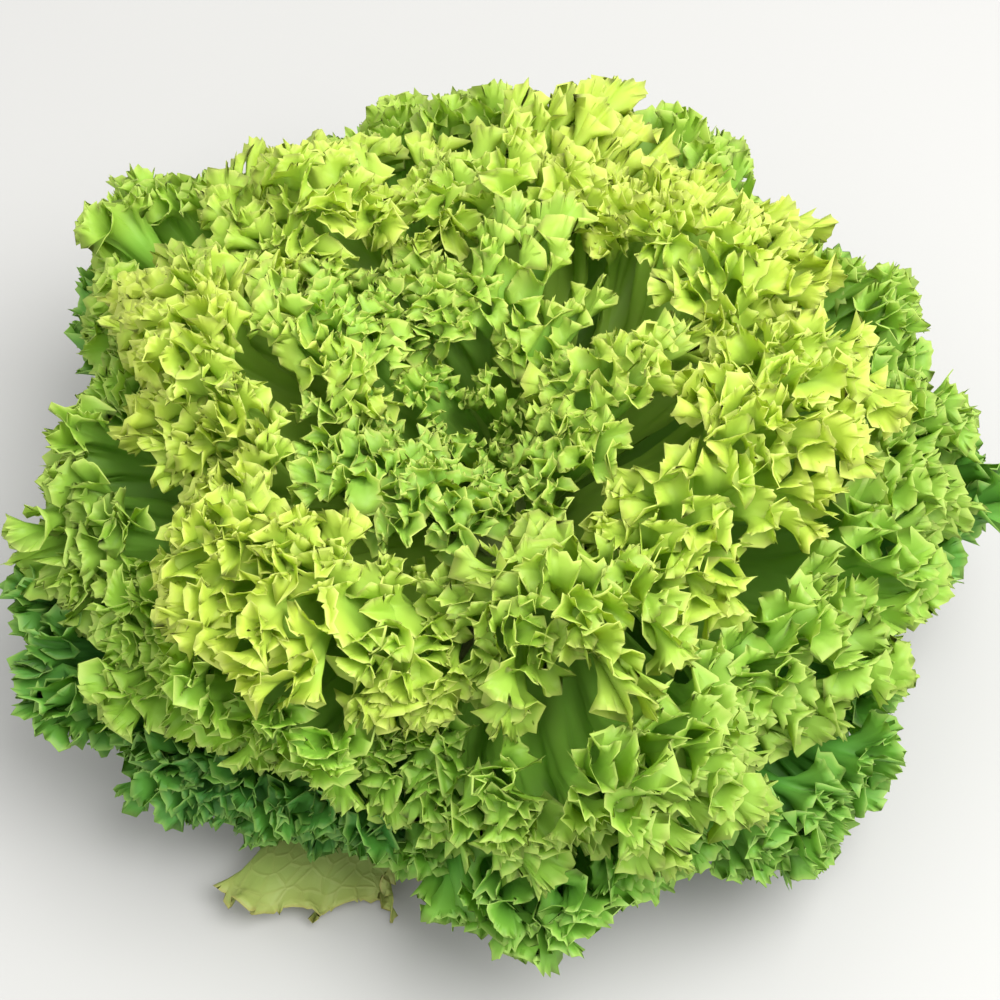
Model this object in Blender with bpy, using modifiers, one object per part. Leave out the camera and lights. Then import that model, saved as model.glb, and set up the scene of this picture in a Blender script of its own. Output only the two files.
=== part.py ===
# Lollo bionda lettuce: a cut head of frilled leaves round a short stump.
# Metres, +Z up. The stump's cut face lies on z = 0, centred on the origin.
#
# The head is measured in three numbers. "ring" runs from the crown (0) to the foot (1) over
# the rounded outside, "turn" goes round the stump, and "depth" runs from the stump (0) to the
# outside (1). Every leaf keeps to its own patch of ring and turn at every depth, so leaves
# crowd each other as they do in the real head but never cross.
import math

import bpy
import numpy as np

COLLECTION = "lollo_bionda_lettuce"

# The rounded outside of the head
HEAD_RADIUS = 0.142
HEAD_RISE = 0.090
WAIST_HEIGHT = 0.046
HEART_DIP = 0.024
HEART_SPREAD = 0.17
HEAD_ARC = math.radians(100)
RING_LENGTH = 0.200
BLADE_LENGTH = 0.120
SIDE_TURN = 1.2
FOLD_ROUNDING = 0.08

# How the crowded leaves push each other about, all of it growing towards the outside:
# a sway round the stump, a drift of the rings, a swell of the outside, and a lean of the whole head
SWAY = 0.032
RING_DRIFT = (0.014, 0.006)
SWELL = 0.03
LEAN = (0.007, 0.007, 0.008)
CROWN_STIFFNESS = 0.35

# The hollow of the crown lies to one side of the head
CROWN_SHIFT = 0.020
CROWN_SPREAD = 0.45

# The arch of a leaf: its angle in degrees as it leaves the stump and as it reaches the outside,
# each as a start and a change by ring, and the length of its two arms
ARCH_RISE = (88, -74)
ARCH_FALL = (90, -93)
ARCH_ARMS = (0.38, 0.40)
CROWN_RING = 0.004

# The stump and where the leaves leave it
STUMP_RADIUS = 0.017
STUMP_HEIGHT = 0.046
STUMP_DROP = 0.036
STUMP_SHOULDER = 0.28
STUMP_GAP = 0.0014
STUMP_SIDES = 28
CUT_RADIUS = 0.0142

# The surface that the head rests on
FLOOR_CLEARANCE = 0.0012
FLOOR_SOFTNESS = 0.010

# Blades
EDGE_THICKNESS = 0.0010
RIB_THICKNESS = 0.0030
RIB_WIDTH = 0.45
ROWS = [(1, 1.0), (2, 0.87), (4, 0.66), (8, 0.34), (8, 0.0)]
SAMPLES = 6001
COLUMN_BEND = math.radians(122)
COLUMN_LENGTH = 0.029

# Leaves of each ring: turn in degrees, ring, half angle in degrees, fold depth, seed
BUD = [(30, 0.064, 56, 0.0045, 8), (150, 0.064, 56, 0.0045, 9), (270, 0.064, 56, 0.0045, 10)]
HEART = [
    (73, 0.180, 45, 0.0180, 11),
    (163, 0.180, 45, 0.0180, 12),
    (253, 0.180, 45, 0.0180, 13),
    (343, 0.180, 45, 0.0180, 14),
]
INNER = [
    (236.5, 0.400, 33, 0.0280, 1),
    (287.5, 0.400, 18, 0.0280, 2),
    (336.5, 0.400, 31, 0.0280, 3),
    (29, 0.400, 21.5, 0.0280, 4),
    (75, 0.400, 24.5, 0.0275, 15),
    (121.5, 0.400, 22, 0.0280, 6),
    (173.5, 0.400, 30, 0.0280, 7),
]
MIDDLE = [
    (16, 0.662, 22.5, 0.0245, 41),
    (60, 0.662, 21.5, 0.0245, 42),
    (104, 0.662, 22.5, 0.0245, 43),
    (148, 0.660, 21.5, 0.0238, 44),
    (190, 0.662, 20.5, 0.0245, 45),
    (236, 0.660, 25.5, 0.0230, 46),
    (286, 0.662, 24.5, 0.0245, 47),
    (332, 0.662, 21.5, 0.0245, 48),
]
OUTER = [
    (358, 0.906, 20, 0.0230, 21),
    (38, 0.906, 20, 0.0230, 22),
    (78, 0.906, 20, 0.0230, 23),
    (117, 0.906, 19, 0.0230, 24),
    (155, 0.910, 19, 0.0222, 25),
    (195, 0.906, 21, 0.0230, 26),
    (236.5, 0.912, 20.5, 0.0225, 27),
    (277, 0.906, 20, 0.0230, 28),
    (317.5, 0.906, 20.5, 0.0230, 29),
]
FOOT = [
    (329, 1.140, 23, 0.0190, 31),
    (16, 1.140, 23, 0.0190, 32),
    (63, 1.140, 23, 0.0190, 33),
    (110, 1.140, 23, 0.0190, 34),
    (157, 1.140, 23, 0.0190, 35),
    (206, 1.140, 22, 0.0190, 36),
    (285, 1.140, 20, 0.0190, 38),
]
OLD = [(246, 1.160, 19, 0.011, 51)]

# Mounds that the crowded leaves make between darker creases: turn in degrees, ring, size
MOUND_RELIEF = 0.19
MOUNDS = [
    (62, 0.52, 0.038), (90, 0.56, 0.036), (114, 0.50, 0.040), (48, 0.34, 0.032), (158, 0.58, 0.038),
    (180, 0.33, 0.036), (197, 0.62, 0.038), (232, 0.44, 0.052), (212, 0.86, 0.044),
    (293, 0.58, 0.050), (322, 0.72, 0.040), (352, 0.28, 0.036), (335, 0.44, 0.036),
    (16, 0.46, 0.040), (350, 0.76, 0.040), (30, 0.76, 0.040), (68, 0.82, 0.042), (104, 0.80, 0.042),
    (138, 0.82, 0.052), (268, 0.90, 0.036), (304, 0.92, 0.046), (182, 0.92, 0.036),
]

# Ruffles of each ring: pitch and depth along the margin, how far in from it they fade, the
# pitch of the large folds, how long the leaf is in its middle and at its sides, and how far
# the mound falls off
RUFFLES = {
    "bud": dict(pitch=0.010, depth=0.0006, fade=0.006, folds=0.015, middle=0.92, side=0.70, mound=0.04),
    "heart": dict(pitch=0.016, depth=0.0030, fade=0.009, folds=0.0165, middle=1, side=0.82, mound=0.04),
    "inner": dict(pitch=0.021, depth=0.0042, fade=0.0105, folds=0.021, middle=1, side=0.88, mound=0.04),
    "middle": dict(pitch=0.021, depth=0.0042, fade=0.0105, folds=0.021, middle=1, side=0.88, mound=0.03),
    "outer": dict(pitch=0.022, depth=0.0044, fade=0.0105, folds=0.022, middle=1, side=0.88, mound=0.03),
    "foot": dict(pitch=0.028, depth=0.0050, fade=0.0105, folds=0.032, middle=1, side=0.84, mound=0.03),
    "old": dict(pitch=0.030, depth=0.0025, fade=0.016, folds=0.050, middle=1.15, side=0.86, mound=0.02),
}


def clear_scene():
    for old in list(bpy.data.objects):
        bpy.data.objects.remove(old, do_unlink=True)


def smooth(x):
    x = np.clip(x, 0, 1)
    return x * x * (3 - 2 * x)


def drift(seed, low=0.5, high=2.2, count=4):
    """A slow wandering curve of about unit size, fixed by its seed."""
    rng = np.random.default_rng(seed)
    rates = rng.uniform(low, high, count)
    starts = rng.uniform(0, 2 * np.pi, count)
    sizes = rng.uniform(0.6, 1, count)
    sizes *= 0.7 / np.sqrt((sizes * sizes).sum() / 2)

    def curve(x):
        return sum(a * np.sin(2 * np.pi * f * x + p) for a, f, p in zip(sizes, rates, starts))

    return curve


def outside(ring):
    """Radius and height of the rounded outside of the head."""
    arc = HEAD_ARC * ring
    dip = HEART_DIP * np.exp(-((ring / HEART_SPREAD) ** 2))
    return HEAD_RADIUS * np.sin(arc), WAIST_HEIGHT + HEAD_RISE * np.cos(arc) - dip


def stump_line(ring):
    """Radius and height of the line on the stump that leaves grow from."""
    radius = STUMP_RADIUS * np.tanh(ring / STUMP_SHOULDER)
    return radius, STUMP_HEIGHT - STUMP_DROP * np.clip(ring, 0, 1.2) ** 1.1


def mound_height(ring, turn):
    """How far up a mound a place is, from 0 in a crease to 1 on the top."""
    gap = 1
    for centre_turn, centre_ring, size in MOUNDS:
        away = np.mod(turn - math.radians(centre_turn) + np.pi, 2 * np.pi) - np.pi
        across = away * outside(centre_ring)[0]
        up = (ring - centre_ring) * RING_LENGTH
        gap = gap * (1 - np.exp(-(across**2 + up**2) / size**2))
    return 1 - gap


def arching_line(ring, depth):
    """Radius and height along the arch of a leaf, from the stump to the outside."""
    start_r, start_z = stump_line(ring)
    end_r, end_z = outside(ring)
    span = np.hypot(end_r - start_r, end_z - start_z)
    rise = np.radians(ARCH_RISE[0] + ARCH_RISE[1] * ring)
    fall = np.radians(ARCH_FALL[0] + ARCH_FALL[1] * ring)
    lower = ARCH_ARMS[0] * span
    upper = ARCH_ARMS[1] * span
    weights = ((1 - depth) ** 3, 3 * (1 - depth) ** 2 * depth, 3 * (1 - depth) * depth**2, depth**3)
    radii = (start_r, start_r + lower * np.cos(rise), end_r - upper * np.cos(fall), end_r)
    heights = (start_z, start_z + lower * np.sin(rise), end_z - upper * np.sin(fall), end_z)
    return (
        sum(w * r for w, r in zip(weights, radii)),
        sum(w * z for w, z in zip(weights, heights)),
    )


def head_point(ring, turn, depth):
    """World points for places in the head. Each step is a shear, so nothing that was apart meets."""
    out = smooth(depth) * smooth(ring / CROWN_STIFFNESS)
    sway = np.sin(2 * np.pi * ring / 0.40 + 1.0) + 0.3 * np.sin(2 * np.pi * ring / 0.21 + 3 * turn)
    turn = turn + SWAY * out / np.maximum(ring, 0.25) * sway
    ring = ring + RING_DRIFT[0] * out * np.sin(7 * turn + 0.6)
    ring = ring + RING_DRIFT[1] * out * np.sin(13 * turn + 2.0)
    swell = np.sin(9 * turn + 11 * ring) * np.sin(2 * np.pi * ring / 0.33 + 2 * turn)
    depth = depth * (1 + SWELL * swell * smooth(ring / CROWN_STIFFNESS) * smooth(depth))
    depth = depth * (1 + MOUND_RELIEF * (mound_height(ring, turn) - 0.6) * smooth(depth))
    radius, z = arching_line(np.maximum(ring, CROWN_RING), depth)
    out = smooth(depth)
    x = radius * np.cos(turn) - CROWN_SHIFT * out * np.exp(-((ring / CROWN_SPREAD) ** 2))
    y = radius * np.sin(turn)
    x = x + LEAN[0] * out * np.sin(2 * np.pi * (y / 0.17 + 0.3))
    y = y + LEAN[1] * out * np.sin(2 * np.pi * (z / 0.15 + x / 0.21 + 0.1))
    lift = np.sin(2 * np.pi * (x / 0.19 + 0.55)) * np.sin(2 * np.pi * (y / 0.23 + 0.2))
    z = z + LEAN[2] * out * lift - FLOOR_CLEARANCE
    z = FLOOR_CLEARANCE + 0.5 * (z + np.sqrt(z * z + FLOOR_SOFTNESS**2))
    return np.stack([x, y, z], -1)


class Leaf:
    """One leaf. "along" runs from one side of its margin (-1) to the other (1), "out" from its
    base (0) to its margin (1)."""

    def __init__(self, name, place, ruffles):
        turn, self.ring, half_angle, self.fold_depth, seed = place
        self.name = name
        self.turn = math.radians(turn)
        self.ruffles = ruffles
        self.reach = float(outside(self.ring)[0])
        self.half_width = math.radians(half_angle) * self.reach - 0.5 * ruffles["depth"]
        middle = 2 * self.half_width * SIDE_TURN / math.sin(SIDE_TURN)
        self.folds = middle / ruffles["folds"]
        self.first_fold = np.random.default_rng(seed + 99).uniform(0, 2 * np.pi)
        self.drifts = [drift(seed * 10 + k) for k in range(4)]
        self.measure_margin()

    def measure_margin(self):
        """Lays the ruffles out by length along the folded margin, a whole number of them."""
        self.samples = np.linspace(-1, 1, SAMPLES)
        across, through = self.fold_line(self.samples, np.ones(SAMPLES))
        down = self.side_length(self.samples) * BLADE_LENGTH
        steps = np.sqrt(np.diff(across) ** 2 + np.diff(through) ** 2 + np.diff(down) ** 2)
        self.lengths = np.concatenate([[0], np.cumsum(steps)])
        waves = round(self.lengths[-1] / self.ruffles["pitch"])
        self.ruffle_pitch = self.lengths[-1] / waves
        phase = 2 * np.pi * self.lengths / self.ruffle_pitch
        self.phases = phase + 1.1 * self.drifts[2](self.lengths * 12)

    def side_length(self, along):
        side = self.ruffles["side"]
        return side + (self.ruffles["middle"] - side) * np.cos(along * np.pi / 2)

    def fold_line(self, along, out):
        """The large folds: offset across the leaf and through its thickness."""
        grow = out**5
        size = (0.93 + 0.07 * self.drifts[0](along)) * (1 - 0.15 * along**4)
        phase = self.first_fold + np.pi * self.folds * along + 0.5 * self.drifts[1](along)
        width = self.half_width * (0.88 + 0.12 * smooth(out))
        across = width * np.sin(SIDE_TURN * along) / math.sin(SIDE_TURN)
        round_off = FOLD_ROUNDING * self.ruffles["folds"] * grow * (1 - along**4) * np.sin(2 * phase)
        return across - round_off, self.fold_depth * size * grow * np.sin(phase)

    def ruffle_line(self, along, out):
        """The smaller ruffles of the margin, standing across the line of the folds."""
        across, through = self.fold_line(along, out)
        step = 2e-4
        middle = np.clip(along, step - 1, 1 - step)
        before, here, after = (self.fold_line(middle + k * step, out) for k in (-1, 0, 1))
        run_across = after[0] - before[0]
        run_through = after[1] - before[1]
        run = np.hypot(run_across, run_through) + 1e-12
        turn = (here[0] - before[0]) * (after[1] - here[1]) - (here[1] - before[1]) * (after[0] - here[0])
        bend = 8 * turn / run**3
        fade = np.exp(-(1 - out) * BLADE_LENGTH / self.ruffles["fade"])
        phase = np.interp(along, self.samples, self.phases)
        length = np.interp(along, self.samples, self.lengths)
        size = self.ruffles["depth"] * (0.88 + 0.2 * self.drifts[3](length * 14))
        lift = size * (1 - 0.7 * along**4) * fade * np.sin(phase)
        lift /= 1 + 1.3 * np.maximum(bend * lift, 0)
        return across - run_through / run * lift, through + run_across / run * lift

    def points(self, along, out, line=None):
        across, through = (line or self.ruffle_line)(along, out)
        edge = 0.5 * np.clip((through / self.fold_depth) ** 2, 0, 1.4)
        edge += 0.35 * np.clip((across / self.half_width) ** 2, 0, 1.3)
        crown = 1 + (0.02 - self.ruffles["mound"] * edge) * smooth((out - 0.4) / 0.6)
        depth = self.side_length(along) * (1 + 0.03 * self.drifts[3](along * 2)) * out * crown
        return head_point(self.ring + through / RING_LENGTH, self.turn + across / self.reach, depth)

    def thickness_direction(self, along, out):
        """Unit normals of the folded blade under its ruffles."""
        step = 1e-3
        sideways = self.points(np.minimum(along + step, 1), out, self.fold_line)
        sideways -= self.points(np.maximum(along - step, -1), out, self.fold_line)
        outwards = self.points(along, np.minimum(out + step, 1), self.fold_line)
        outwards -= self.points(along, np.maximum(out - step, 0), self.fold_line)
        normals = np.cross(sideways, outwards)
        return normals / np.linalg.norm(normals, axis=1, keepdims=True)

    def margin_columns(self):
        """Places along the margin, closer together where it bends, a multiple of 8 apart."""
        across, through = self.ruffle_line(self.samples, np.ones(SAMPLES))
        heading = np.unwrap(np.arctan2(np.diff(through), np.diff(across)))
        bend = np.concatenate([[0, 0], np.abs(np.diff(heading))])
        measure = np.cumsum(bend) / COLUMN_BEND + self.lengths / COLUMN_LENGTH
        count = 8 * round(measure[-1] / 8)
        return np.interp(np.linspace(0, measure[-1], count + 1), measure, self.samples)


def leaf_sheet(leaf):
    """Rows of points from margin to base with their half thickness, fewer columns further in,
    and the triangles between them."""
    columns = leaf.margin_columns()
    points = []
    offsets = []
    rows = []
    for step, out in ROWS:
        along = columns[::step]
        outs = np.full(len(along), out)
        rows.append((len(points), len(along)))
        points += list(leaf.points(along, outs))
        rib = np.exp(-((along / RIB_WIDTH) ** 2)) * (1 - smooth(out / 0.8))
        thickness = EDGE_THICKNESS + (RIB_THICKNESS - EDGE_THICKNESS) * rib
        offsets += list(leaf.thickness_direction(along, outs) * thickness[:, None] / 2)
    faces = []
    for (outer, outer_count), (inner, inner_count) in zip(rows, rows[1:]):
        if outer_count == inner_count:
            for k in range(outer_count - 1):
                faces.append((outer + k, inner + k, outer + k + 1))
                faces.append((outer + k + 1, inner + k, inner + k + 1))
            continue
        for k in range(inner_count - 1):
            near, middle, far = (outer + 2 * k, outer + 2 * k + 1, outer + 2 * k + 2)
            faces.append((near, inner + k, middle))
            faces.append((middle, inner + k, inner + k + 1))
            faces.append((middle, inner + k + 1, far))
    return np.array(points), np.array(offsets), faces


def make_leaf(leaf, material, collection):
    """A closed blade: two faces split into triangles alike, and a rim round them."""
    points, offsets, faces = leaf_sheet(leaf)
    count = len(points)
    edges = {(a, b) for face in faces for a, b in zip(face, face[1:] + face[:1])}
    rim = [(a, b) for a, b in sorted(edges) if (b, a) not in edges]
    shell = list(faces)
    shell += [(c + count, b + count, a + count) for a, b, c in faces]
    for a, b in rim:
        shell += [(b, a, a + count), (b, a + count, b + count)]
    mesh = bpy.data.meshes.new(leaf.name)
    mesh.from_pydata(np.concatenate([points + offsets, points - offsets]).tolist(), [], shell)
    mesh.materials.append(material)
    mesh.shade_smooth()
    blade = bpy.data.objects.new(leaf.name, mesh)
    collection.objects.link(blade)
    return blade


def make_stump(material, collection):
    """The short stem, turned from its profile, with a flat cut face below."""
    rings = np.linspace(1.2, 0, 9)
    line = head_point(rings, np.zeros_like(rings), np.zeros_like(rings))
    profile = [(0, 0), (CUT_RADIUS, 0)]
    profile += [(max(x - STUMP_GAP, 0), z - STUMP_GAP) for x, _, z in line.tolist()]
    profile.reverse()
    mesh = bpy.data.meshes.new("stump")
    points = [(x, 0, z) for x, z in profile]
    mesh.from_pydata(points, [(k, k + 1) for k in range(len(points) - 1)], [])
    mesh.materials.append(material)
    stump = bpy.data.objects.new("stump", mesh)
    collection.objects.link(stump)
    screw = stump.modifiers.new("Turned stem", "SCREW")
    screw.steps = STUMP_SIDES
    screw.render_steps = STUMP_SIDES
    screw.use_merge_vertices = True
    screw.merge_threshold = 0.00005
    return stump


def make_material(name, colour, roughness):
    material = bpy.data.materials.new(name)
    material.use_nodes = True
    shader = material.node_tree.nodes["Principled BSDF"]
    shader.inputs["Base Color"].default_value = (*colour, 1)
    shader.inputs["Roughness"].default_value = roughness
    shader.inputs["Metallic"].default_value = 0
    return material


def main():
    clear_scene()
    collection = bpy.data.collections.new(COLLECTION)
    bpy.context.scene.collection.children.link(collection)
    make_stump(make_material("stump flesh", (0.62, 0.60, 0.34), 0.55), collection)
    rings = [
        ("bud", BUD, (0.40, 0.52, 0.10)),
        ("heart", HEART, (0.36, 0.52, 0.07)),
        ("inner", INNER, (0.38, 0.56, 0.06)),
        ("middle", MIDDLE, (0.31, 0.51, 0.05)),
        ("outer", OUTER, (0.24, 0.46, 0.04)),
        ("foot", FOOT, (0.12, 0.32, 0.04)),
        ("old", OLD, (0.35, 0.45, 0.10)),
    ]
    for ring, places, colour in rings:
        material = make_material(f"{ring} leaf", colour, 0.45)
        for number, place in enumerate(places, 1):
            leaf = Leaf(f"{ring}_leaf_{number}", place, RUFFLES[ring])
            make_leaf(leaf, material, collection)


main()
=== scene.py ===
import math

import bpy
import numpy as np
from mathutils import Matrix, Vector


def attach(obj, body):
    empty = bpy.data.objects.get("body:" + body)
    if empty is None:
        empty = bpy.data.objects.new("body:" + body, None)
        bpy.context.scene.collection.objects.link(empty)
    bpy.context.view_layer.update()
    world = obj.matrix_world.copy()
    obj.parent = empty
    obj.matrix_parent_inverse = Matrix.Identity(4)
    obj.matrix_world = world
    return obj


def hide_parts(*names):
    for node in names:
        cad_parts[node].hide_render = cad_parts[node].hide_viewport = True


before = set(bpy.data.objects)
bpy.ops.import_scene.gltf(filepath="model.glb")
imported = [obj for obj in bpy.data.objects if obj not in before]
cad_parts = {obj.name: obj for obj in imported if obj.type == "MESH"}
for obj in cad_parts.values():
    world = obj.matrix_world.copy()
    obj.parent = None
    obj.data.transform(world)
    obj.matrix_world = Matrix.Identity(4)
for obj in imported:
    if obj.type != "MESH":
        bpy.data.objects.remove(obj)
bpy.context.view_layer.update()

# values that shape the whole head, in metres and degrees
head = {
    "radius": 0.142, "rise": 0.090, "waist": 0.046,
    "heartDip": 0.024, "heartSpread": 0.17, "arc": 100,
    "ringLength": 0.200, "bladeLength": 0.120, "sideTurn": 1.2, "foldRounding": 0.08,
    "sway": 0.032, "ringDrift": (0.014, 0.006), "swell": 0.03,
    "lean": (0.007, 0.007, 0.008), "crownStiffness": 0.35, "moundRelief": 0.19,
    "crownShift": 0.020, "crownSpread": 0.45,
    "archRise": (88, -74), "archFall": (90, -93), "archArms": (0.38, 0.40),
    "floorClearance": 0.0012, "floorSoftness": 0.010,
}

stumpForm = {
    "radius": 0.017, "height": 0.046, "drop": 0.036, "shoulder": 0.28, "gap": 0.0014, "cutRadius": 0.0142,
    "sides": 96, "rows": 60, "ridge": 0.0005,
    "cutRings": (0.25, 0.5, 0.7, 0.85, 0.94, 0.985, 1.0), "oval": 0.018,
}

# turn, ring, half angle, fold depth, seed of each leaf
places = {
    "bud": [
        (30, 0.064, 56, 0.0045, 8), (150, 0.064, 56, 0.0045, 9), (270, 0.064, 56, 0.0045, 10),
    ],
    "heart": [
        (73, 0.180, 45, 0.0180, 11), (163, 0.180, 45, 0.0180, 12), (253, 0.180, 45, 0.0180, 13),
        (343, 0.180, 45, 0.0180, 14),
    ],
    "inner": [
        (236.5, 0.400, 33, 0.0280, 1), (287.5, 0.400, 18, 0.0280, 2), (336.5, 0.400, 31, 0.0280, 3),
        (29, 0.400, 21.5, 0.0280, 4), (75, 0.400, 24.5, 0.0275, 15), (121.5, 0.400, 22, 0.0280, 6),
        (173.5, 0.400, 30, 0.0280, 7),
    ],
    "middle": [
        (16, 0.662, 22.5, 0.0245, 41), (60, 0.662, 21.5, 0.0245, 42), (104, 0.662, 22.5, 0.0245, 43),
        (148, 0.660, 21.5, 0.0238, 44), (190, 0.662, 20.5, 0.0245, 45), (236, 0.660, 25.5, 0.0230, 46),
        (286, 0.662, 24.5, 0.0245, 47), (332, 0.662, 21.5, 0.0245, 48),
    ],
    "outer": [
        (358, 0.906, 20, 0.0230, 21), (38, 0.906, 20, 0.0230, 22), (78, 0.906, 20, 0.0230, 23),
        (117, 0.906, 19, 0.0230, 24), (155, 0.910, 19, 0.0222, 25), (195, 0.906, 21, 0.0230, 26),
        (236.5, 0.912, 20.5, 0.0225, 27), (277, 0.906, 20, 0.0230, 28), (317.5, 0.906, 20.5, 0.0230, 29),
    ],
    "foot": [
        (329, 1.140, 23, 0.0190, 31), (16, 1.140, 23, 0.0190, 32), (63, 1.140, 23, 0.0190, 33),
        (110, 1.140, 23, 0.0190, 34), (157, 1.140, 23, 0.0190, 35), (206, 1.140, 22, 0.0190, 36),
        (285, 1.140, 20, 0.0190, 38),
    ],
    "old": [
        (246, 1.160, 19, 0.011, 51),
    ],
}

# mounds between the creases, where painted shade darkens the margins: turn, ring, size
mounds = [
    (62, 0.52, 0.038), (90, 0.56, 0.036), (114, 0.50, 0.040), (48, 0.34, 0.032), (158, 0.58, 0.038),
    (180, 0.33, 0.036), (197, 0.62, 0.038), (232, 0.44, 0.052), (212, 0.86, 0.044), (293, 0.58, 0.050),
    (322, 0.72, 0.040), (352, 0.28, 0.036), (335, 0.44, 0.036), (16, 0.46, 0.040), (350, 0.76, 0.040),
    (30, 0.76, 0.040), (68, 0.82, 0.042), (104, 0.80, 0.042), (138, 0.82, 0.052), (268, 0.90, 0.036),
    (304, 0.92, 0.046), (182, 0.92, 0.036),
]

# how each ring's margin is ruffled, how long its leaves are, and how finely they are frilled
ruffles = {
    "bud": {
        "pitch": 0.010, "depth": 0.0006, "fade": 0.006, "folds": 0.015, "middle": 0.92,
        "side": 0.70, "mound": 0.04, "frill": 0.0064, "flareLength": 0.0052, "flareAngle": 1.3,
        "tooth": 0.0018, "toothLength": 0.0014, "fullness": 1.15,
    },
    "heart": {
        "pitch": 0.016, "depth": 0.0030, "fade": 0.009, "folds": 0.0165, "middle": 1,
        "side": 0.82, "mound": 0.04, "frill": 0.0092, "flareLength": 0.009, "flareAngle": 1.45,
        "tooth": 0.0022, "toothLength": 0.0015, "fullness": 1.25,
    },
    "inner": {
        "pitch": 0.021, "depth": 0.0042, "fade": 0.0105, "folds": 0.021, "middle": 1,
        "side": 0.88, "mound": 0.04, "frill": 0.011, "flareLength": 0.0112, "flareAngle": 1.55,
        "tooth": 0.0024, "toothLength": 0.0019, "fullness": 1.3,
    },
    "middle": {
        "pitch": 0.021, "depth": 0.0042, "fade": 0.0105, "folds": 0.021, "middle": 1,
        "side": 0.88, "mound": 0.03, "frill": 0.0122, "flareLength": 0.012, "flareAngle": 1.55,
        "tooth": 0.0025, "toothLength": 0.0020, "fullness": 1.3,
    },
    "outer": {
        "pitch": 0.022, "depth": 0.0044, "fade": 0.0105, "folds": 0.022, "middle": 1,
        "side": 0.88, "mound": 0.03, "frill": 0.0145, "flareLength": 0.0136, "flareAngle": 1.5,
        "tooth": 0.0027, "toothLength": 0.0022, "fullness": 1.3,
    },
    "foot": {
        "pitch": 0.028, "depth": 0.0050, "fade": 0.0105, "folds": 0.032, "middle": 1,
        "side": 0.84, "mound": 0.03, "frill": 0.0158, "flareLength": 0.0138, "flareAngle": 1.4,
        "tooth": 0.0029, "toothLength": 0.0022, "fullness": 1.25,
    },
    "old": {
        "pitch": 0.030, "depth": 0.0025, "fade": 0.016, "folds": 0.050, "middle": 1.15,
        "side": 0.86, "mound": 0.02, "frill": 0.017, "flareLength": 0.009, "flareAngle": 0.5,
        "tooth": 0.0030, "toothLength": 0.0009, "fullness": 1.0,
    },
}

blade = {
    "edge": 0.00038, "rib": 0.0028, "ribWidth": 0.30, "samples": 12001,
    "rows": [
        (1, (1,)),
        (2, (0.978, 0.952, 0.920, 0.885)),
        (4, (0.845, 0.80, 0.75, 0.68)),
        (8, (0.60, 0.46, 0.32, 0.16, 0)),
    ],
    "flare": 0.85, "overhang": 0.40, "pucker": 0.0030, "puckerSize": 0.0130,
    "lying": 0.002, "toothTip": 0.55, "toothUneven": 0.34, "toothFade": 0.0038, "lobeTeeth": 3.4,
    "curl": 0.0012, "curlTeeth": 2.9, "curlFade": 0.0075, "second": 0.38, "secondRate": 2.37,
}


def smooth(x):
    x = np.clip(x, 0, 1)
    return x * x * (3 - 2 * x)


def drift(seed, low=0.5, high=2.2, count=4):  # a slow wandering curve, fixed by its seed
    rng = np.random.default_rng(seed)
    rates = rng.uniform(low, high, count)
    starts = rng.uniform(0, 2 * np.pi, count)
    sizes = rng.uniform(0.6, 1, count)
    sizes *= 0.7 / np.sqrt((sizes * sizes).sum() / 2)
    return lambda x: sum(a * np.sin(2 * np.pi * f * x + p) for a, f, p in zip(sizes, rates, starts))


def outside(ring):
    arc = math.radians(head["arc"]) * ring
    dip = head["heartDip"] * np.exp(-((ring / head["heartSpread"]) ** 2))
    return head["radius"] * np.sin(arc), head["waist"] + head["rise"] * np.cos(arc) - dip


def stumpLine(ring):
    radius = stumpForm["radius"] * np.tanh(ring / stumpForm["shoulder"])
    return radius, stumpForm["height"] - stumpForm["drop"] * np.clip(ring, 0, 1.2) ** 1.1


def moundHeight(ring, turn):  # from 0 in a crease to 1 on the top of a mound
    gap = 1
    for centreTurn, centreRing, size in mounds:
        away = np.mod(turn - math.radians(centreTurn) + np.pi, 2 * np.pi) - np.pi
        across = away * outside(centreRing)[0]
        up = (ring - centreRing) * head["ringLength"]
        gap = gap * (1 - np.exp(-(across**2 + up**2) / size**2))
    return 1 - gap


def archingLine(ring, depth):
    startR, startZ = stumpLine(ring)
    endR, endZ = outside(ring)
    span = np.hypot(endR - startR, endZ - startZ)
    rise = np.radians(head["archRise"][0] + head["archRise"][1] * ring)
    fall = np.radians(head["archFall"][0] + head["archFall"][1] * ring)
    lower, upper = (arm * span for arm in head["archArms"])
    weights = ((1 - depth) ** 3, 3 * (1 - depth) ** 2 * depth, 3 * (1 - depth) * depth**2, depth**3)
    radii = (startR, startR + lower * np.cos(rise), endR - upper * np.cos(fall), endR)
    heights = (startZ, startZ + lower * np.sin(rise), endZ - upper * np.sin(fall), endZ)
    return sum(w * r for w, r in zip(weights, radii)), sum(w * z for w, z in zip(weights, heights))


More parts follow.
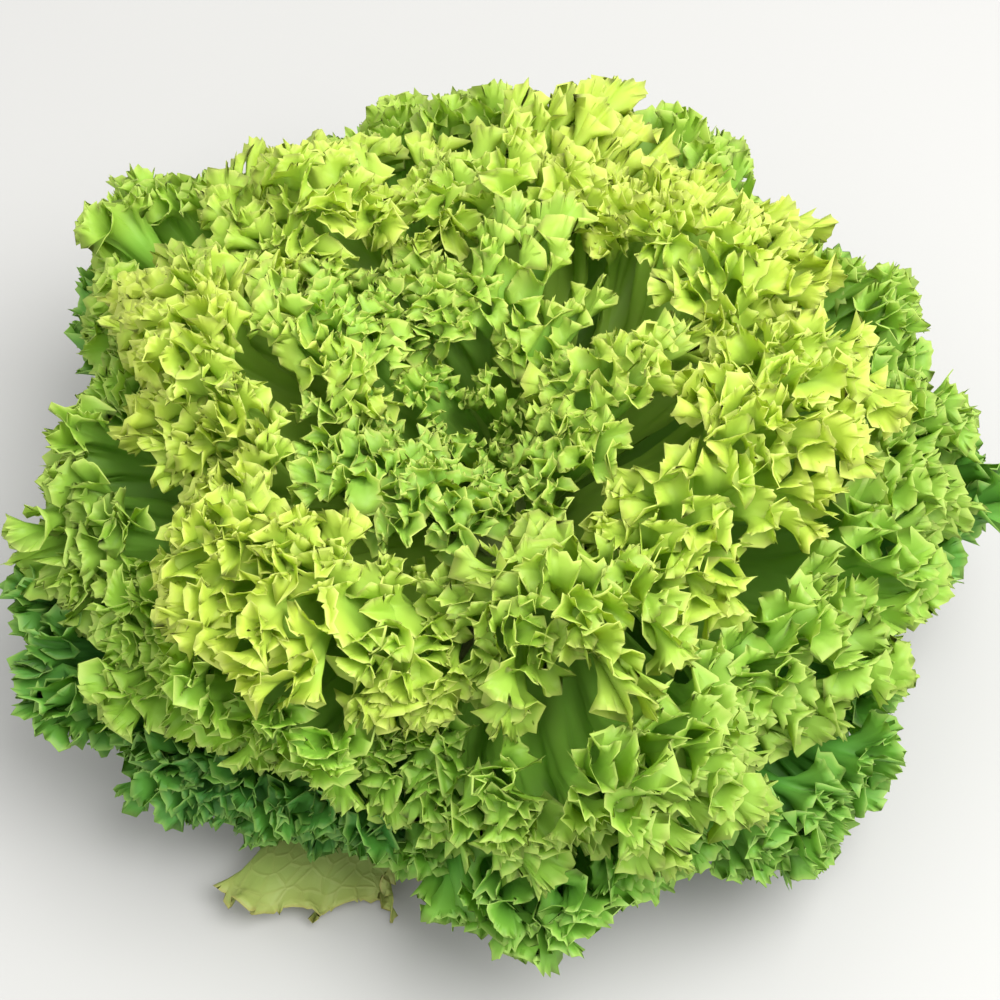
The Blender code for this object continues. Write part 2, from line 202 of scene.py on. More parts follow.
def headPoint(ring, turn, depth):  # each step is a shear, so leaves that are apart stay apart
    out = smooth(depth) * smooth(ring / head["crownStiffness"])
    sway = np.sin(2 * np.pi * ring / 0.40 + 1.0) + 0.3 * np.sin(2 * np.pi * ring / 0.21 + 3 * turn)
    turn = turn + head["sway"] * out / np.maximum(ring, 0.25) * sway
    ring = ring + head["ringDrift"][0] * out * np.sin(7 * turn + 0.6)
    ring = ring + head["ringDrift"][1] * out * np.sin(13 * turn + 2.0)
    swell = np.sin(9 * turn + 11 * ring) * np.sin(2 * np.pi * ring / 0.33 + 2 * turn)
    depth = depth * (1 + head["swell"] * swell * smooth(ring / head["crownStiffness"]) * smooth(depth))
    depth = depth * (1 + head["moundRelief"] * (moundHeight(ring, turn) - 0.6) * smooth(depth))
    radius, z = archingLine(np.maximum(ring, 0.004), depth)
    out = smooth(depth)
    x = radius * np.cos(turn) - head["crownShift"] * out * np.exp(-((ring / head["crownSpread"]) ** 2))
    y = radius * np.sin(turn)
    x = x + head["lean"][0] * out * np.sin(2 * np.pi * (y / 0.17 + 0.3))
    y = y + head["lean"][1] * out * np.sin(2 * np.pi * (z / 0.15 + x / 0.21 + 0.1))
    lift = np.sin(2 * np.pi * (x / 0.19 + 0.55)) * np.sin(2 * np.pi * (y / 0.23 + 0.2))
    z = z + head["lean"][2] * out * lift - head["floorClearance"]
    z = head["floorClearance"] + 0.5 * (z + np.sqrt(z * z + head["floorSoftness"] ** 2))
    return np.stack([x, y, z], -1)


class Leaf:  # "along" runs round the margin from -1 to 1, "out" from the base (0) to the margin (1)
    def __init__(self, ringName, number, place):
        turn, self.ring, halfAngle, self.foldDepth, seed = place
        self.name = f"{ringName}_leaf_{number}"
        self.ringName = ringName
        self.seed = seed
        self.turn = math.radians(turn)
        self.form = ruffles[ringName]
        self.reach = float(outside(self.ring)[0])
        self.halfWidth = math.radians(halfAngle) * self.reach - 0.5 * self.form["depth"]
        middle = 2 * self.halfWidth * head["sideTurn"] / math.sin(head["sideTurn"])
        self.folds = middle / self.form["folds"]
        self.firstFold = np.random.default_rng(seed + 99).uniform(0, 2 * np.pi)
        self.drifts = [drift(seed * 10 + k) for k in range(6)]
        self.samples = np.linspace(-1, 1, blade["samples"])
        self.lengths = self.marginLength(self.foldLine)
        waves = round(self.lengths[-1] / self.form["pitch"])
        phase = 2 * np.pi * self.lengths * waves / self.lengths[-1]
        self.phases = phase + 1.1 * self.drifts[2](self.lengths * 12)
        fine = self.marginLength(self.ruffleLine)
        self.frillPhases = 2 * np.pi * fine / self.form["frill"] + 1.2 * self.drifts[4](fine * 25)
        self.frillSizes = np.clip(1 + 0.3 * self.drifts[5](fine * 30), 0.55, 1.35)
        self.frillSizes = self.frillSizes * (1 - 0.5 * self.samples**4)
        swing = np.sin(self.frillPhases) + blade["second"] * np.sin(blade["secondRate"] * self.frillPhases)
        tilt = self.form["flareAngle"] * self.frillSizes * swing
        aside = self.form["flareLength"] * np.sin(tilt / 2) * np.sinc(tilt / 2 / np.pi)
        self.frilled = np.concatenate([[0], np.cumsum(np.hypot(np.diff(fine), np.diff(aside)))])

    def marginLength(self, line):
        across, through = line(self.samples, np.ones(blade["samples"]))
        down = self.sideLength(self.samples) * head["bladeLength"]
        steps = np.sqrt(np.diff(across) ** 2 + np.diff(through) ** 2 + np.diff(down) ** 2)
        return np.concatenate([[0], np.cumsum(steps)])

    def sideLength(self, along):
        side = self.form["side"]
        return side + (self.form["middle"] - side) * np.cos(along * np.pi / 2)

    def foldLine(self, along, out):  # the large folds
        grow = out**5
        size = (0.93 + 0.07 * self.drifts[0](along)) * (1 - 0.15 * along**4)
        phase = self.firstFold + np.pi * self.folds * along + 0.5 * self.drifts[1](along)
        width = self.halfWidth * (0.88 + 0.12 * smooth(out))
        across = width * np.sin(head["sideTurn"] * along) / math.sin(head["sideTurn"])
        roundOff = head["foldRounding"] * self.form["folds"] * grow * (1 - along**4) * np.sin(2 * phase)
        return across - roundOff, self.foldDepth * size * grow * np.sin(phase)

    def ruffleLine(self, along, out):  # the ruffles, standing across the line of the folds
        across, through = self.foldLine(along, out)
        step = 2e-4
        middle = np.clip(along, step - 1, 1 - step)
        before, here, after = (self.foldLine(middle + k * step, out) for k in (-1, 0, 1))
        runAcross = after[0] - before[0]
        runThrough = after[1] - before[1]
        run = np.hypot(runAcross, runThrough) + 1e-12
        corner = (here[0] - before[0]) * (after[1] - here[1])
        corner = corner - (here[1] - before[1]) * (after[0] - here[0])
        bend = 8 * corner / run**3
        fade = np.exp(-(1 - out) * head["bladeLength"] / (self.form["fade"] * blade["flare"]))
        phase = np.interp(along, self.samples, self.phases)
        length = np.interp(along, self.samples, self.lengths)
        size = self.form["fullness"] * self.form["depth"] * (0.88 + 0.2 * self.drifts[3](length * 14))
        lift = size * (1 - 0.7 * along**4) * fade * np.sin(phase)
        lift /= 1 + 1.3 * np.maximum(bend * lift, 0)
        return across - runThrough / run * lift, through + runAcross / run * lift

    def points(self, along, out):
        across, through = self.ruffleLine(along, out)
        edge = 0.5 * np.clip((through / self.foldDepth) ** 2, 0, 1.4)
        edge += 0.35 * np.clip((across / self.halfWidth) ** 2, 0, 1.3)
        crown = 1 + (0.02 - self.form["mound"] * edge) * smooth((out - 0.4) / 0.6)
        depth = self.sideLength(along) * (1 + 0.03 * self.drifts[3](along * 2)) * out * crown
        return headPoint(self.ring + through / head["ringLength"], self.turn + across / self.reach, depth)

    def directions(self, along, out):  # unit vectors along the margin, towards it, and through the blade
        stepAlong, stepOut = 5e-4, 6e-3
        sideways = self.points(np.minimum(along + stepAlong, 1), out)
        sideways -= self.points(np.maximum(along - stepAlong, -1), out)
        outward = self.points(along, np.minimum(out + stepOut, 1))
        outward -= self.points(along, np.maximum(out - stepOut, 0))
        sideways /= np.linalg.norm(sideways, axis=1, keepdims=True)
        outward -= sideways * (outward * sideways).sum(1, keepdims=True)
        outward /= np.linalg.norm(outward, axis=1, keepdims=True)
        return sideways, outward, np.cross(sideways, outward)


def leafSheet(leaf):  # rows of points from margin to base, with fewer columns further in
    teeth = 4 * round(leaf.frilled[-1] / leaf.form["tooth"] / 4)
    uneven = np.random.default_rng(leaf.seed).uniform(-1, 1, teeth + 1) * blade["toothUneven"]
    valleys = (np.arange(teeth + 1) + uneven) * leaf.frilled[-1] / teeth
    valleys[0], valleys[-1] = 0, leaf.frilled[-1]
    toothPlace = np.append(np.add.outer(np.arange(teeth), [0, blade["toothTip"]]), teeth)
    columns = np.interp(np.interp(toothPlace, np.arange(teeth + 1), valleys), leaf.frilled, leaf.samples)
    rows, faces, parts = [], [], []
    start = 0
    for step, outs in blade["rows"]:
        for out in outs:
            along = columns[::step]
            rows.append((start, len(along)))
            start += len(along)
            parts.append((along, np.full(len(along), float(out)), toothPlace[::step]))
    for (outer, outerCount), (inner, innerCount) in zip(rows, rows[1:]):
        if outerCount == innerCount:
            faces += [(outer + k, inner + k, inner + k + 1, outer + k + 1) for k in range(outerCount - 1)]
            continue
        for k in range(innerCount - 1):
            near = outer + 2 * k
            faces += [(near, inner + k, near + 1), (near + 1, inner + k, inner + k + 1, near + 2)]
    along, out, toothPlace = (np.concatenate(part) for part in zip(*parts))
    return along, out, toothPlace, faces


def leafMesh(leaf):  # the closed blade, with the values that its frill and colour follow
    along, out, toothPlace, faces = leafSheet(leaf)
    points = leaf.points(along, out)
    sideways, outward, through = leaf.directions(along, out)
    rib = np.exp(-((along / blade["ribWidth"]) ** 2)) * (1 - smooth(out / 0.9)) ** 1.5
    half = (blade["edge"] + (blade["rib"] - blade["edge"]) * rib)[:, None] / 2
    count = len(points)
    edges = {(a, b) for face in faces for a, b in zip(face, face[1:] + face[:1])}
    rim = [(a, b) for a, b in sorted(edges) if (b, a) not in edges]
    shell = list(faces) + [tuple(v + count for v in reversed(face)) for face in faces]
    shell += [(b, a, a + count, b + count) for a, b in rim]
    mesh = bpy.data.meshes.new(leaf.name)
    mesh.from_pydata(np.concatenate([points + through * half, points - through * half]).tolist(), [], shell)
    across, _ = leaf.foldLine(along, out)
    values = {
        "toMargin": (1 - out) * head["bladeLength"] * leaf.sideLength(along),
        "out": out,
        "along": along,
        "toothPlace": toothPlace,
        "frillPhase": np.interp(along, leaf.samples, leaf.frillPhases),
        "frillSize": np.interp(along, leaf.samples, leaf.frillSizes),
        "paintedShade": np.full(count, paintedShadeLeaves.get(leaf.name, 0)),
        "mound": moundHeight(np.full(count, leaf.ring), leaf.turn + across / leaf.reach),
    }
    for name, value in values.items():
        attribute = mesh.attributes.new(name, "FLOAT", "POINT")
        attribute.data.foreach_set("value", np.concatenate([value, value]).astype(np.float32))
    place = np.stack([across, out * head["bladeLength"], np.full(count, leaf.seed * 0.37)], -1)
    vectors = {"sideways": sideways, "outward": outward, "through": through, "bladePlace": place}
    for name, value in vectors.items():
        attribute = mesh.attributes.new(name, "FLOAT_VECTOR", "POINT")
        attribute.data.foreach_set("vector", np.concatenate([value, value]).astype(np.float32).ravel())
    return mesh


# nodes written as sums
class Plug:
    def __init__(self, graph, socket):
        self.graph, self.socket = graph, socket

    def sum(self, operation, first, second=0.0):
        return self.graph.add("ShaderNodeMath", {"operation": operation}, {0: first, 1: second})

    def __add__(self, other):
        return self.sum("ADD", self, other)

    def __sub__(self, other):
        return self.sum("SUBTRACT", self, other)

    def __rsub__(self, other):
        return self.sum("SUBTRACT", other, self)

    def __mul__(self, other):
        return self.sum("MULTIPLY", self, other)

    def __truediv__(self, other):
        return self.sum("DIVIDE", self, other)

    def __rtruediv__(self, other):
        return self.sum("DIVIDE", other, self)

    def __pow__(self, other):
        return self.sum("POWER", self, other)

    __radd__ = __add__
    __rmul__ = __mul__


class Graph:
    def __init__(self, tree):
        self.tree = tree

    def add(self, kind, settings=None, values=None, output=0):
        node = self.tree.nodes.new(kind)
        for name, value in (settings or {}).items():
            setattr(node, name, value)
        for name, value in (values or {}).items():
            if isinstance(value, Plug):
                self.tree.links.new(value.socket, node.inputs[name])
            else:
                node.inputs[name].default_value = value
        return Plug(self, node.outputs[output])

    def wave(self, x):
        return x.sum("SINE", x)

    def clamp(self, x):
        return self.add("ShaderNodeMath", {"operation": "ADD", "use_clamp": True}, {0: x, 1: 0.0})

    def mix(self, factor, first, second):
        return self.add("ShaderNodeMix", {"data_type": "RGBA"}, {0: factor, 6: first, 7: second}, 2)


def frillTree():  # the fine frill, the teeth and the puckers of a blade
    tree = bpy.data.node_groups.new("leafFrill", "GeometryNodeTree")
    face = tree.interface
    face.new_socket("Geometry", in_out="INPUT", socket_type="NodeSocketGeometry")
    names = ["Flare angle", "Flare length", "Overhang", "Tooth tip", "Tooth length", "Tooth fade",
             "Lobe teeth", "Curl height", "Curl teeth", "Curl fade", "Second frill", "Second rate",
             "Pucker height", "Pucker size"]
    for name in names:
        face.new_socket(name, in_out="INPUT", socket_type="NodeSocketFloat")
    face.new_socket("Seed", in_out="INPUT", socket_type="NodeSocketInt")
    face.new_socket("Material", in_out="INPUT", socket_type="NodeSocketMaterial")
    face.new_socket("Geometry", in_out="OUTPUT", socket_type="NodeSocketGeometry")
    graph = Graph(tree)
    entry = tree.nodes.new("NodeGroupInput")
    given = {socket.name: Plug(graph, socket) for socket in entry.outputs if socket.name}

    def stored(name, kind="FLOAT"):
        return graph.add("GeometryNodeInputNamedAttribute", {"data_type": kind}, {"Name": name})

    def scaled(vector, by):
        return graph.add("ShaderNodeVectorMath", {"operation": "SCALE"}, {0: vector, "Scale": by})

    def joined(first, second):
        return graph.add("ShaderNodeVectorMath", {"operation": "ADD"}, {0: first, 1: second})

    # the margin bends over to one side and the other as it goes along
    toMargin = stored("toMargin")
    phase = stored("frillPhase")
    swing = graph.wave(phase) + given["Second frill"] * graph.wave(phase * given["Second rate"])
    tilt = given["Flare angle"] * stored("frillSize") * swing
    size = tilt.sum("MAXIMUM", tilt.sum("ABSOLUTE", tilt), 0.01)
    near = graph.clamp(1 - toMargin / given["Flare length"])
    bend = size * near
    bendCosine = bend.sum("COSINE", bend)
    bendSine = graph.wave(bend)
    side = tilt / size
    aside = side * given["Flare length"] * (1 - bendCosine) / size
    back = given["Flare length"] * (bendSine / size - near)
    lean = given["Overhang"] * given["Flare length"] * near * near * stored("frillSize")
    lean = lean * graph.wave(phase * 2) * -0.5

    # teeth of uneven height, leaning along the margin
    place = stored("toothPlace")
    index = place.sum("FLOOR", place)
    part = place - index
    height = graph.add("FunctionNodeRandomValue", {"data_type": "FLOAT"},
                       {2: 0.15, 3: 1.1, "ID": index, "Seed": given["Seed"]}, 1)
    twist = graph.add("FunctionNodeRandomValue", {"data_type": "FLOAT"},
                      {2: -0.65, 3: 0.65, "ID": index, "Seed": given["Seed"] + 1}, 1)
    falling = (1 - part) / (1 - given["Tooth tip"])
    lobe = place / given["Lobe teeth"]
    lobe = graph.wave(lobe * (2 * math.pi) + 1.4 * graph.wave(lobe * 1.9)) * 0.5
    point = part.sum("MINIMUM", part / given["Tooth tip"], falling) * height
    near = graph.clamp(1 - toMargin / given["Tooth fade"])
    tooth = (point + lobe) * near * near * given["Tooth length"]

    # the edge curls up and down, each tooth in its own way
    turns = place / given["Curl teeth"] * (2 * math.pi)
    near = graph.clamp(1 - toMargin / given["Curl fade"])
    curl = graph.wave(turns + 1.8 * graph.wave(turns * 0.31)) * given["Curl height"] * near * near
    curl = curl + point * twist * given["Tooth length"] * near * near

    # soft puckers between the veins
    spot = graph.add("ShaderNodeVectorMath", {"operation": "SCALE"},
                     {0: stored("bladePlace", "FLOAT_VECTOR"), "Scale": 1 / given["Pucker size"]})
    noise = graph.add("ShaderNodeTexNoise", {"noise_dimensions": "3D"},
                      {"Vector": spot, "Scale": 1.0, "Detail": 1.0})
    pucker = (noise - 0.5) * given["Pucker height"] * 2 * graph.clamp(stored("out") * 3 - 0.6)
    pucker = pucker * (0.35 + 0.65 * graph.clamp(toMargin * 90))

    across = aside + pucker + bendSine * side * tooth + bendCosine * curl
    upward = back + bendCosine * tooth - bendSine * side * curl
    move = joined(scaled(stored("through", "FLOAT_VECTOR"), across),
                  joined(scaled(stored("sideways", "FLOAT_VECTOR"), lean),
                         scaled(stored("outward", "FLOAT_VECTOR"), upward)))
    moved = graph.add("GeometryNodeSetPosition", {}, {"Geometry": given["Geometry"], "Offset": move})
    plain = graph.add("GeometryNodeRealizeInstances", {}, {"Geometry": moved})
    done = graph.add("GeometryNodeSetMaterial", {}, {"Geometry": plain, "Material": given["Material"]})
    tree.links.new(done.socket, tree.nodes.new("NodeGroupOutput").inputs[0])
    return tree


def settle(obj, tree, values):  # runs a node tree on an object and keeps the plain mesh
    modifier = obj.modifiers.new("growth", "NODES")
    modifier.node_group = tree
    for item in tree.interface.items_tree:
        if item.in_out == "INPUT" and item.name in values:
            modifier[item.identifier] = values[item.name]
    evaluated = obj.evaluated_get(bpy.context.evaluated_depsgraph_get())
    mesh = bpy.data.meshes.new_from_object(evaluated)
    obj.modifiers.clear()
    obj.data = mesh
    points = np.empty(len(mesh.vertices) * 3)
    mesh.vertices.foreach_get("co", points)
    height = points[2::3]  # what would hang below the floor lies flat on it
    low = blade["lying"]
    height[:] = np.where(height < low, low * np.exp((np.minimum(height, low) - low) / low), height)
    mesh.vertices.foreach_set("co", points)
    mesh.shade_smooth()
    for name in ("sideways", "outward", "through", "frillPhase", "frillSize", "toothPlace"):
        if name in mesh.attributes:
            mesh.attributes.remove(mesh.attributes[name])


# materials
leafColours = {
    "bud": {"base": (0.38, 0.54, 0.10), "blade": (0.26, 0.50, 0.07), "margin": (0.55, 0.68, 0.09),
            "crease": (0.38, 0.58, 0.07), "rim": (0.72, 0.77, 0.20), "glow": (0.70, 0.86, 0.10)},
    "heart": {"base": (0.36, 0.53, 0.10), "blade": (0.26, 0.51, 0.07), "margin": (0.62, 0.71, 0.10),
              "crease": (0.40, 0.60, 0.08), "rim": (0.76, 0.79, 0.22), "glow": (0.76, 0.89, 0.12)},
    "inner": {"base": (0.36, 0.54, 0.10), "blade": (0.42, 0.66, 0.09), "margin": (0.56, 0.67, 0.09),
              "crease": (0.44, 0.64, 0.08), "rim": (0.72, 0.76, 0.22), "glow": (0.82, 0.93, 0.15)},
    "middle": {"base": (0.34, 0.52, 0.10), "blade": (0.30, 0.58, 0.07), "margin": (0.40, 0.58, 0.075),
               "crease": (0.30, 0.55, 0.065), "rim": (0.60, 0.69, 0.19), "glow": (0.70, 0.89, 0.12)},
    "outer": {"base": (0.30, 0.48, 0.08), "blade": (0.12, 0.38, 0.045), "margin": (0.24, 0.47, 0.06),
              "crease": (0.16, 0.41, 0.05), "rim": (0.50, 0.67, 0.17), "glow": (0.46, 0.76, 0.08)},
    "foot": {"base": (0.26, 0.44, 0.07), "blade": (0.05, 0.22, 0.03), "margin": (0.15, 0.39, 0.05),
             "crease": (0.09, 0.30, 0.04), "rim": (0.36, 0.55, 0.15), "glow": (0.22, 0.54, 0.05)},
    "old": {"base": (0.46, 0.50, 0.18), "blade": (0.35, 0.46, 0.12), "margin": (0.43, 0.50, 0.13),
            "crease": (0.42, 0.49, 0.13), "rim": (0.45, 0.37, 0.12), "glow": (0.46, 0.54, 0.08)},
}

netRings = ("old",)

leafFinish = {
    "roughness": 0.52, "unevenRoughness": 0.2, "through": 0.34, "refraction": 1.42,
    "patchScale": 38.0, "patchMix": 0.7, "mottle": 0.3, "mottleStart": 0.35, "darker": 0.66,
    "rimWidth": 0.0011, "rim": 0.6, "marginWidth": 0.0125, "paintedShade": (0.04, 0.2, 0.045),
    "pocketShade": 0.7, "pocketShadeStart": 0.018, "pocketShadeWidth": 0.03,
    "net": 0.12, "netScale": 210.0, "netWidth": 7, "veins": 5, "veinWidth": (0.10, 0.07),
    "ribWidth": (0.16, 0.12), "veinPaleness": 0.55, "veinBump": 0.45, "veinDepth": 0.0004,
}

# how much painted shade darkens each leaf towards a dark green, from 0 to 1
paintedShadeLeaves = {
    "outer_leaf_6": 0.75, "outer_leaf_7": 0.8, "foot_leaf_6": 0.85, "outer_leaf_5": 0.4,
    "middle_leaf_5": 0.25, "outer_leaf_1": 0.4, "foot_leaf_5": 0.5, "outer_leaf_9": 0.3,
    "middle_leaf_1": 0.3, "middle_leaf_8": 0.25, "middle_leaf_7": 0.2, "heart_leaf_3": 0.3,
    "heart_leaf_4": 0.1, "inner_leaf_2": 0.3, "bud_leaf_3": 0.2,
}


def leafMaterial(ringName):
    colours = leafColours[ringName]
    material = bpy.data.materials.new(f"{ringName} leaf flesh")
    material.use_nodes = True
    tree = material.node_tree
    tree.nodes.clear()
    graph = Graph(tree)

    def stored(name, output="Fac"):
        return graph.add("ShaderNodeAttribute", {"attribute_name": name}, {}, output)

    toMargin = stored("toMargin")
    out = stored("out")
    along = stored("along")
    place = stored("bladePlace", "Vector")
    spot = graph.add("ShaderNodeTexCoord", {}, {}, "Object")

    broad = graph.add("ShaderNodeTexNoise", {}, {
        "Vector": spot, "Scale": leafFinish["patchScale"], "Detail": 1.0})
    # painted shade: each leaf's shade amount, broken up by the broad noise
    paintedShade = graph.clamp(stored("paintedShade") * (0.75 + (broad - 0.5) * 1.6))
    if ringName in netRings:
        cells = graph.add("ShaderNodeTexVoronoi", {"feature": "DISTANCE_TO_EDGE"},
                          {"Vector": place, "Scale": leafFinish["netScale"], "Randomness": 0.9})
        net = 1 - graph.clamp(cells * leafFinish["netWidth"])

    # main veins fan out from the midrib and thin towards the margin
    fan = along * leafFinish["veins"] + 0.5
    fan = fan - fan.sum("FLOOR", fan)
    fan = (fan - 0.5).sum("ABSOLUTE", fan - 0.5)
    width, thinning = leafFinish["veinWidth"]
    vein = graph.clamp(1 - fan / (width - thinning * out)) * graph.clamp(1.25 - out * 1.25)
    middle = along.sum("ABSOLUTE", along)
    width, thinning = leafFinish["ribWidth"]
    rib = graph.clamp(1 - middle / (width - thinning * out)) * graph.clamp(1.3 - out * 1.4)
    pale = graph.clamp(vein * 0.45 + rib)

    blend = graph.clamp(1 - toMargin / leafFinish["marginWidth"] + (broad - 0.5) * leafFinish["patchMix"])
    # painted shade: the margin colour turns darker green in the creases between mounds and stays lighter on
    # their tops
    frill = graph.mix(graph.clamp(stored("mound") * 1.6 - 0.5 + (broad - 0.5) * 1.2),
                      (*colours["crease"], 1), (*colours["margin"], 1))
    colour = graph.mix(graph.clamp(out * 1.5 - 0.05), (*colours["base"], 1), (*colours["blade"], 1))
    # painted shade: the blade turns darker green further in from the margin, in the pockets between frills
    paintedPocketShade = tuple(leafFinish["pocketShade"] * c for c in colours["blade"])
    depth = graph.clamp((toMargin - leafFinish["pocketShadeStart"]) / leafFinish["pocketShadeWidth"])
    colour = graph.mix(depth * graph.clamp(out * 4 - 1.2), colour, (*paintedPocketShade, 1))
    colour = graph.mix(blend, colour, frill)
    # painted shade: the listed leaves are mixed towards a dark shadow green
    colour = graph.mix(paintedShade, colour, (*leafFinish["paintedShade"], 1))
    rim = graph.clamp(1 - toMargin / leafFinish["rimWidth"]) * (leafFinish["rim"] - 0.4 * paintedShade)
    colour = graph.mix(rim, colour, (*colours["rim"], 1))
    colour = graph.mix(pale * leafFinish["veinPaleness"], colour, (*colours["base"], 1))
    if ringName in netRings:
        seen = net * leafFinish["net"] * graph.clamp(toMargin * 400)
        colour = graph.mix(seen, colour, (*colours["rim"], 1))
    shade = graph.clamp((broad - leafFinish["mottleStart"]) * 2.2) * leafFinish["mottle"]
    darker = tuple(leafFinish["darker"] * c for c in colours["blade"])
    colour = graph.mix(shade * graph.clamp(toMargin * 90), colour, (*darker, 1))

    roughness = leafFinish["roughness"] + (broad - 0.5) * leafFinish["unevenRoughness"]
    finish = {"Base Color": colour, "Roughness": roughness, "IOR": leafFinish["refraction"]}
    if ringName in netRings:
        height = net * 0.9 + pale * 1.2
        finish["Normal"] = graph.add("ShaderNodeBump", {}, {
            "Strength": leafFinish["veinBump"], "Distance": leafFinish["veinDepth"], "Height": height})
    surface = graph.add("ShaderNodeBsdfPrincipled", {}, finish)
    through = graph.add("ShaderNodeBsdfTranslucent", {}, {"Color": (*colours["glow"], 1)})
    both = graph.add("ShaderNodeMixShader", {}, {0: leafFinish["through"], 1: surface, 2: through})
    end = tree.nodes.new("ShaderNodeOutputMaterial")
    tree.links.new(both.socket, end.inputs["Surface"])
    return material


# leaves
print("leaves")
growth = frillTree()
for ringName, ringPlaces in places.items():
    flesh = leafMaterial(ringName)
    form = ruffles[ringName]
    for number, place in enumerate(ringPlaces, 1):
        leaf = Leaf(ringName, number, place)
        piece = bpy.data.objects.new(f"{leaf.name}_blade", leafMesh(leaf))
        bpy.context.scene.collection.objects.link(piece)
        settle(piece, growth, {
            "Flare angle": form["flareAngle"], "Flare length": form["flareLength"],
            "Overhang": blade["overhang"], "Tooth tip": blade["toothTip"],
            "Tooth length": form["toothLength"], "Tooth fade": blade["toothFade"],
            "Lobe teeth": blade["lobeTeeth"], "Curl height": blade["curl"],
            "Curl teeth": blade["curlTeeth"], "Curl fade": blade["curlFade"],
            "Second frill": blade["second"], "Second rate": blade["secondRate"],
            "Pucker height": blade["pucker"], "Pucker size": blade["puckerSize"],
            "Seed": leaf.seed, "Material": flesh,
        })
        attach(piece, "root")
        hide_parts(leaf.name)
    print(ringName, "leaves made")

# stump
print("stump")


def stumpMesh():  # the cut stem, with the scars of the leaves in rows up its side
    rings = np.linspace(1.2, 0, stumpForm["rows"])
    side = headPoint(rings, np.zeros_like(rings), np.zeros_like(rings))
    cut = stumpForm["cutRadius"] * np.array(stumpForm["cutRings"])
    across = np.concatenate([cut, np.maximum(side[:-1, 0] - stumpForm["gap"], 0)])
    up = np.concatenate([np.zeros(len(cut)), side[:-1, 2] - stumpForm["gap"]])
    count = stumpForm["sides"]
    turn = np.arange(count) * 2 * np.pi / count
    grown = np.clip(up / 0.01, 0, 1) * np.clip(across / 0.006, 0, 1)
    scar = np.sin(5 * turn[None] + 420 * up[:, None]) * np.sin(3 * turn[None] - 610 * up[:, None])
    radius = across[:, None] + stumpForm["ridge"] * grown[:, None] * scar
    low = np.clip(1 - up / 0.02, 0, 1)[:, None]
    radius = radius * (1 + stumpForm["oval"] * np.sin(2 * turn + 0.7) * low)
    points = np.stack([radius * np.cos(turn), radius * np.sin(turn), np.repeat(up[:, None], count, 1)], -1)
    points = points.reshape(-1, 3).tolist() + [(0, 0, 0), (0, 0, float(side[-1, 2]) - stumpForm["gap"])]
    rows = len(across)
    faces = []
    for row in range(rows - 1):
        for k in range(count):
            here, there = row * count + k, row * count + (k + 1) % count
            faces.append((here, there, there + count, here + count))
    bottom, top = rows * count, rows * count + 1
    last = (rows - 1) * count
    faces += [((k + 1) % count, k, bottom) for k in range(count)]
    faces += [(last + k, last + (k + 1) % count, top) for k in range(count)]
    mesh = bpy.data.meshes.new("cut_stump")
    mesh.from_pydata(points, [], faces)
    mesh.shade_smooth()
    return mesh


stumpColours = {
    "lower": (0.66, 0.62, 0.36), "upper": (0.40, 0.50, 0.16), "cut": (0.72, 0.66, 0.42),
    "ring": (0.50, 0.46, 0.20), "browned": (0.34, 0.20, 0.09), "speck": (0.42, 0.32, 0.16),
    "ringRadius": 0.0098,
}


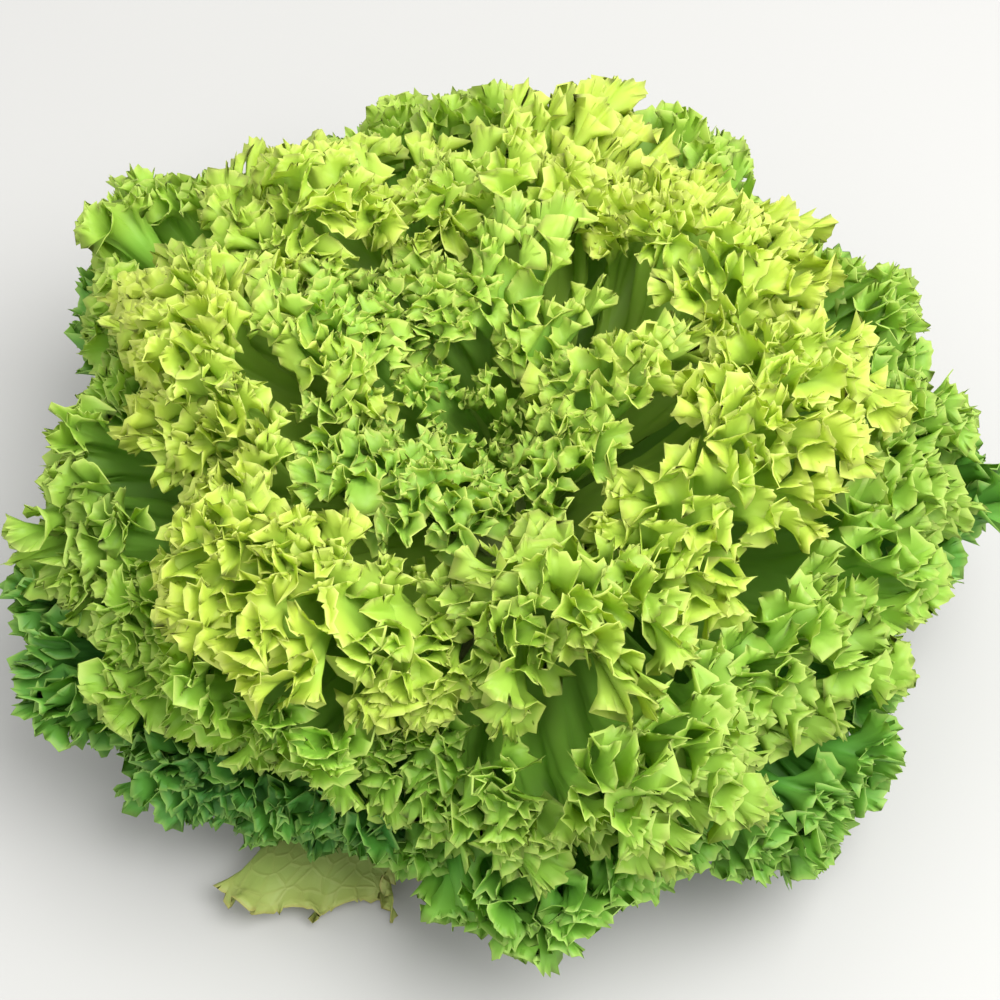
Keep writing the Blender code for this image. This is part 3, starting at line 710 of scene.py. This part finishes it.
def stumpMaterial():
    material = bpy.data.materials.new("stump flesh")
    material.use_nodes = True
    tree = material.node_tree
    tree.nodes.clear()
    graph = Graph(tree)
    spot = graph.add("ShaderNodeTexCoord", {}, {}, "Object")
    apart = tree.nodes.new("ShaderNodeSeparateXYZ")
    tree.links.new(spot.socket, apart.inputs[0])
    x, y, z = (Plug(graph, socket) for socket in apart.outputs)
    radius = (x * x + y * y) ** 0.5
    cloud = graph.add("ShaderNodeTexNoise", {}, {"Vector": spot, "Scale": 160.0, "Detail": 4.0})
    fine = graph.add("ShaderNodeTexNoise", {}, {"Vector": spot, "Scale": 900.0, "Detail": 3.0})
    milky = graph.mix(graph.clamp(z * 40 + (cloud - 0.5)),
                      (*stumpColours["lower"], 1), (*stumpColours["upper"], 1))
    cutFace = graph.clamp(1 - z * 2500)
    fromRing = radius - stumpColours["ringRadius"]
    ringed = graph.clamp(1 - fromRing.sum("ABSOLUTE", fromRing) * 700 + (cloud - 0.5) * 1.6)
    browned = graph.clamp(radius * 95 - 0.75 + (cloud - 0.5) * 1.4)
    face = graph.mix(ringed * 0.5, (*stumpColours["cut"], 1), (*stumpColours["ring"], 1))
    face = graph.mix(browned, face, (*stumpColours["browned"], 1))
    colour = graph.mix(cutFace, milky, face)
    colour = graph.mix(graph.clamp((fine - 0.55) * 3) * 0.4, colour, (*stumpColours["speck"], 1))
    normal = graph.add("ShaderNodeBump", {}, {"Strength": 0.5, "Distance": 0.0005, "Height": fine + cloud})
    surface = graph.add("ShaderNodeBsdfPrincipled", {}, {
        "Base Color": colour, "Roughness": 0.42 + fine * 0.3, "Normal": normal, "IOR": 1.4})
    end = tree.nodes.new("ShaderNodeOutputMaterial")
    tree.links.new(surface.socket, end.inputs["Surface"])
    return material


stump = bpy.data.objects.new("cut_stump", stumpMesh())
bpy.context.scene.collection.objects.link(stump)
stump.data.materials.append(stumpMaterial())
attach(stump, "root")
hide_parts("stump")

# floor, light and camera
stage = {
    "floor": (0.42, 0.417, 0.405), "floorSize": 6, "floorRoughness": 0.8,
    "world": 1.24, "key": 20, "keySize": 0.9, "keyPlace": (0.5, -0.2, 1.1),
}
view = {"elevation": 55, "distance": 0.66, "target": (0, -0.004, 0.050), "lens": 75}

bpy.ops.mesh.primitive_plane_add(size=stage["floorSize"])
floor = bpy.context.object
floor.name = "floor"
floorPaint = bpy.data.materials.new("floor paint")
floorPaint.use_nodes = True
floorShader = floorPaint.node_tree.nodes["Principled BSDF"]
floorShader.inputs["Base Color"].default_value = (*stage["floor"], 1)
floorShader.inputs["Roughness"].default_value = stage["floorRoughness"]
floor.data.materials.append(floorPaint)

world = bpy.data.worlds.new("soft sky")
world.use_nodes = True
world.node_tree.nodes["Background"].inputs["Color"].default_value = (1, 1, 1, 1)
world.node_tree.nodes["Background"].inputs["Strength"].default_value = stage["world"]
bpy.context.scene.world = world

keyLight = bpy.data.lights.new("key", "AREA")
keyLight.energy = stage["key"]
keyLight.size = stage["keySize"]
key = bpy.data.objects.new("key", keyLight)
key.location = stage["keyPlace"]
key.rotation_euler = (Vector(view["target"]) - key.location).to_track_quat("-Z", "Y").to_euler()
bpy.context.scene.collection.objects.link(key)

cameraData = bpy.data.cameras.new("camera")
cameraData.lens = view["lens"]
camera = bpy.data.objects.new("camera", cameraData)
elevation = math.radians(view["elevation"])
target = Vector(view["target"])
camera.location = target + view["distance"] * Vector((0, -math.cos(elevation), math.sin(elevation)))
camera.rotation_euler = (target - camera.location).to_track_quat("-Z", "Y").to_euler()
bpy.context.scene.collection.objects.link(camera)
bpy.context.scene.camera = camera
bpy.context.scene.view_settings.view_transform = "Standard"
